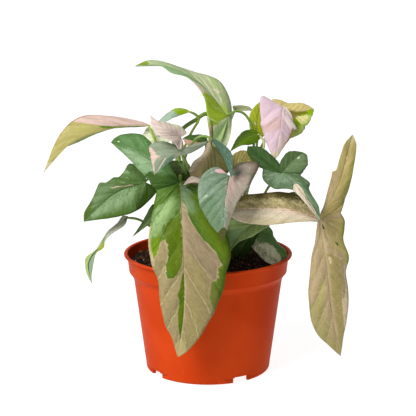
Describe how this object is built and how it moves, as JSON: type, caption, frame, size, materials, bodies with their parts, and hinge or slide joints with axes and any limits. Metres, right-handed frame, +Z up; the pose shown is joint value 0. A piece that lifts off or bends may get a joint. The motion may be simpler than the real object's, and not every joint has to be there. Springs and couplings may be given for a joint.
{
  "type": "potted syngonium plant",
  "caption": "Variegated syngonium with arrow-shaped green, cream and pink leaves on thin arching stalks, growing from potting mix in a round tapered plastic nursery pot.",
  "frame": {"origin": "centre of the pot's underside, on the surface that it stands on", "axes": "+Z up, -Y towards the front, the side over which the largest leaf hangs"},
  "size_m": [0.2731, 0.2006, 0.2839],
  "materials": {
    "pot_plastic": "satin moulded terracotta-orange plastic",
    "potting_mix": "loose dark peat and bark with white perlite",
    "stem_green": "smooth green stem skin",
    "leaf_green": "soft satin leaf, marbled green, cream and pink"
  },
  "bodies": {
    "root": {"pot": "pot_plastic", "soil": "potting_mix", "stem_left": "stem_green", "stem_front": "stem_green", "stem_right": "stem_green", "stem_middle": "stem_green", "stem_back": "stem_green", "leaf_front": "leaf_green", "leaf_centre": "leaf_green", "leaf_low_left": "leaf_green", "leaf_far_left": "leaf_green", "leaf_grey": "leaf_green", "leaf_pink_small": "leaf_green", "leaf_twisted": "leaf_green", "leaf_top": "leaf_green", "leaf_pink_top": "leaf_green", "leaf_lime_top": "leaf_green", "leaf_olive_back": "leaf_green", "leaf_wedge": "leaf_green", "leaf_dark_right": "leaf_green", "leaf_right": "leaf_green", "leaf_under_centre": "leaf_green", "leaf_at_rim": "leaf_green", "leaf_narrow": "leaf_green", "leaf_small_low": "leaf_green", "leaf_blue": "leaf_green", "leaf_tan": "leaf_green", "leaf_olive_centre": "leaf_green", "leaf_pale_left": "leaf_green", "leaf_dark_edge": "leaf_green", "leaf_dark_behind": "leaf_green", "leaf_pink_edge": "leaf_green", "leaf_top_edge": "leaf_green", "leaf_back_left": "leaf_green", "leaf_back_middle": "leaf_green", "leaf_back_right": "leaf_green"}
  },
  "joints": []
}
